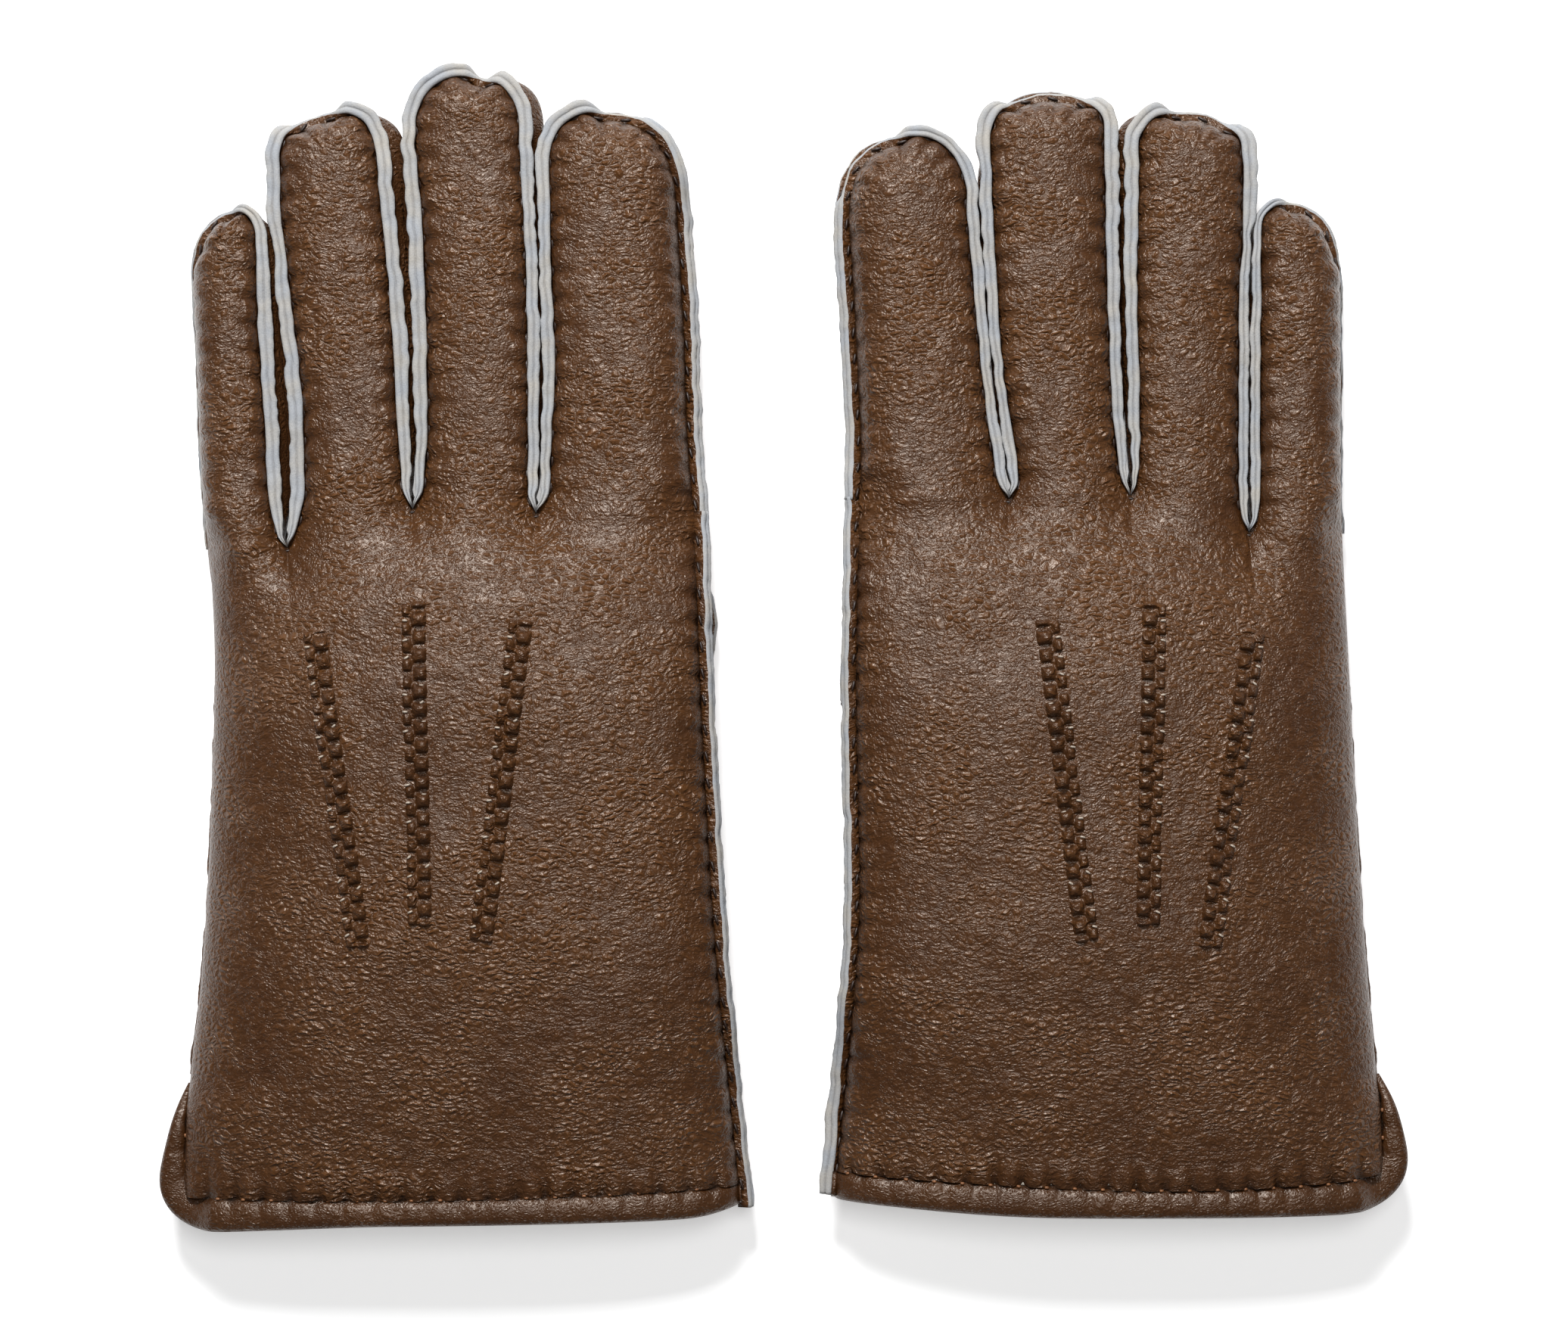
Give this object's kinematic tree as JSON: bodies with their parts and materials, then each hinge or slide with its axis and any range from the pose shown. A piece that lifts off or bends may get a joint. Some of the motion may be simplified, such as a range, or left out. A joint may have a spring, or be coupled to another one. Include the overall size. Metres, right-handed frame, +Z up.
{
  "type": "pair of gloves",
  "caption": "Pair of shearling dress gloves lying backs up, with bending fingers, tucked thumbs that swing out, raised stitched rows on the backs and vented cuffs.",
  "frame": {"origin": "middle of the pair's footprint, on the table", "axes": "+X from the left glove to the right one, +Y towards the fingertips, +Z up from the table, out of the backs of the hands"},
  "size_m": [0.2854, 0.2642, 0.0324],
  "materials": {
    "leather": "softly shining mid-brown sheepskin, fine pebbled grain",
    "fleece": "cream wool",
    "thread": "dark brown waxed thread"
  },
  "bodies": {
    "left_hand": {"left_back_panel": "leather", "left_palm_panel": "leather", "left_hand_fleece": "fleece", "left_hem_back": "leather", "left_hem_palm": "leather", "left_points_little": "thread", "left_points_middle": "thread", "left_points_index": "thread", "left_side_thread": "thread"},
    "left_little": {"left_little_back": "leather", "left_little_palm": "leather", "left_little_fourchette_thumbward": "leather", "left_little_fleece": "fleece"},
    "left_ring": {"left_ring_back": "leather", "left_ring_palm": "leather", "left_ring_fourchette_outward": "leather", "left_ring_fourchette_thumbward": "leather", "left_ring_fleece": "fleece"},
    "left_middle": {"left_middle_back": "leather", "left_middle_palm": "leather", "left_middle_fourchette_outward": "leather", "left_middle_fourchette_thumbward": "leather", "left_middle_fleece": "fleece"},
    "left_index": {"left_index_back": "leather", "left_index_palm": "leather", "left_index_fourchette_outward": "leather", "left_index_fleece": "fleece"},
    "left_thumb": {"left_thumb_inside": "leather", "left_thumb_outside": "leather", "left_thumb_fleece": "fleece"},
    "right_hand": {"right_back_panel": "leather", "right_palm_panel": "leather", "right_hand_fleece": "fleece", "right_hem_back": "leather", "right_hem_palm": "leather", "right_points_little": "thread", "right_points_middle": "thread", "right_points_index": "thread", "right_side_thread": "thread"},
    "right_little": {"right_little_back": "leather", "right_little_palm": "leather", "right_little_fourchette_thumbward": "leather", "right_little_fleece": "fleece"},
    "right_ring": {"right_ring_back": "leather", "right_ring_palm": "leather", "right_ring_fourchette_outward": "leather", "right_ring_fourchette_thumbward": "leather", "right_ring_fleece": "fleece"},
    "right_middle": {"right_middle_back": "leather", "right_middle_palm": "leather", "right_middle_fourchette_outward": "leather", "right_middle_fourchette_thumbward": "leather", "right_middle_fleece": "fleece"},
    "right_index": {"right_index_back": "leather", "right_index_palm": "leather", "right_index_fourchette_outward": "leather", "right_index_fleece": "fleece"},
    "right_thumb": {"right_thumb_inside": "leather", "right_thumb_outside": "leather", "right_thumb_fleece": "fleece"}
  },
  "joints": [
    {"name": "pair_spread", "type": "slide", "parent": "left_hand", "child": "right_hand", "axis": [1, 0, 0], "range_m": [0, 0.15]},
    {"name": "left_little_bend", "type": "hinge", "parent": "left_hand", "child": "left_little", "pos_m": [-0.12415, 0.0359, 0.01], "axis": [-1, 0, 0], "range_deg": [-15, 60]},
    {"name": "left_ring_bend", "type": "hinge", "parent": "left_hand", "child": "left_ring", "pos_m": [-0.0996, 0.0439, 0.01], "axis": [-1, 0, 0], "range_deg": [-15, 60]},
    {"name": "left_middle_bend", "type": "hinge", "parent": "left_hand", "child": "left_middle", "pos_m": [-0.0708, 0.0439, 0.01], "axis": [-1, 0, 0], "range_deg": [-15, 60]},
    {"name": "left_index_bend", "type": "hinge", "parent": "left_hand", "child": "left_index", "pos_m": [-0.0374, 0.0439, 0.01], "axis": [-1, 0, 0], "range_deg": [-15, 60]},
    {"name": "left_thumb_swing", "type": "hinge", "parent": "left_hand", "child": "left_thumb", "pos_m": [-0.0342, -0.0821, 0.0139], "axis": [-0.312, -0.9501, 0], "range_deg": [0, 120]},
    {"name": "right_little_bend", "type": "hinge", "parent": "right_hand", "child": "right_little", "pos_m": [0.1176, 0.0379, 0.01], "axis": [-1, 0, 0], "range_deg": [-15, 60]},
    {"name": "right_ring_bend", "type": "hinge", "parent": "right_hand", "child": "right_ring", "pos_m": [0.093, 0.0459, 0.01], "axis": [-1, 0, 0], "range_deg": [-15, 60]},
    {"name": "right_middle_bend", "type": "hinge", "parent": "right_hand", "child": "right_middle", "pos_m": [0.0656, 0.0459, 0.01], "axis": [-1, 0, 0], "range_deg": [-15, 60]},
    {"name": "right_index_bend", "type": "hinge", "parent": "right_hand", "child": "right_index", "pos_m": [0.0335, 0.0459, 0.01], "axis": [-1, 0, 0], "range_deg": [-15, 60]},
    {"name": "right_thumb_swing", "type": "hinge", "parent": "right_hand", "child": "right_thumb", "pos_m": [0.0342, -0.0821, 0.0139], "axis": [-0.312, 0.9501, 0], "range_deg": [0, 120]}
  ]
}
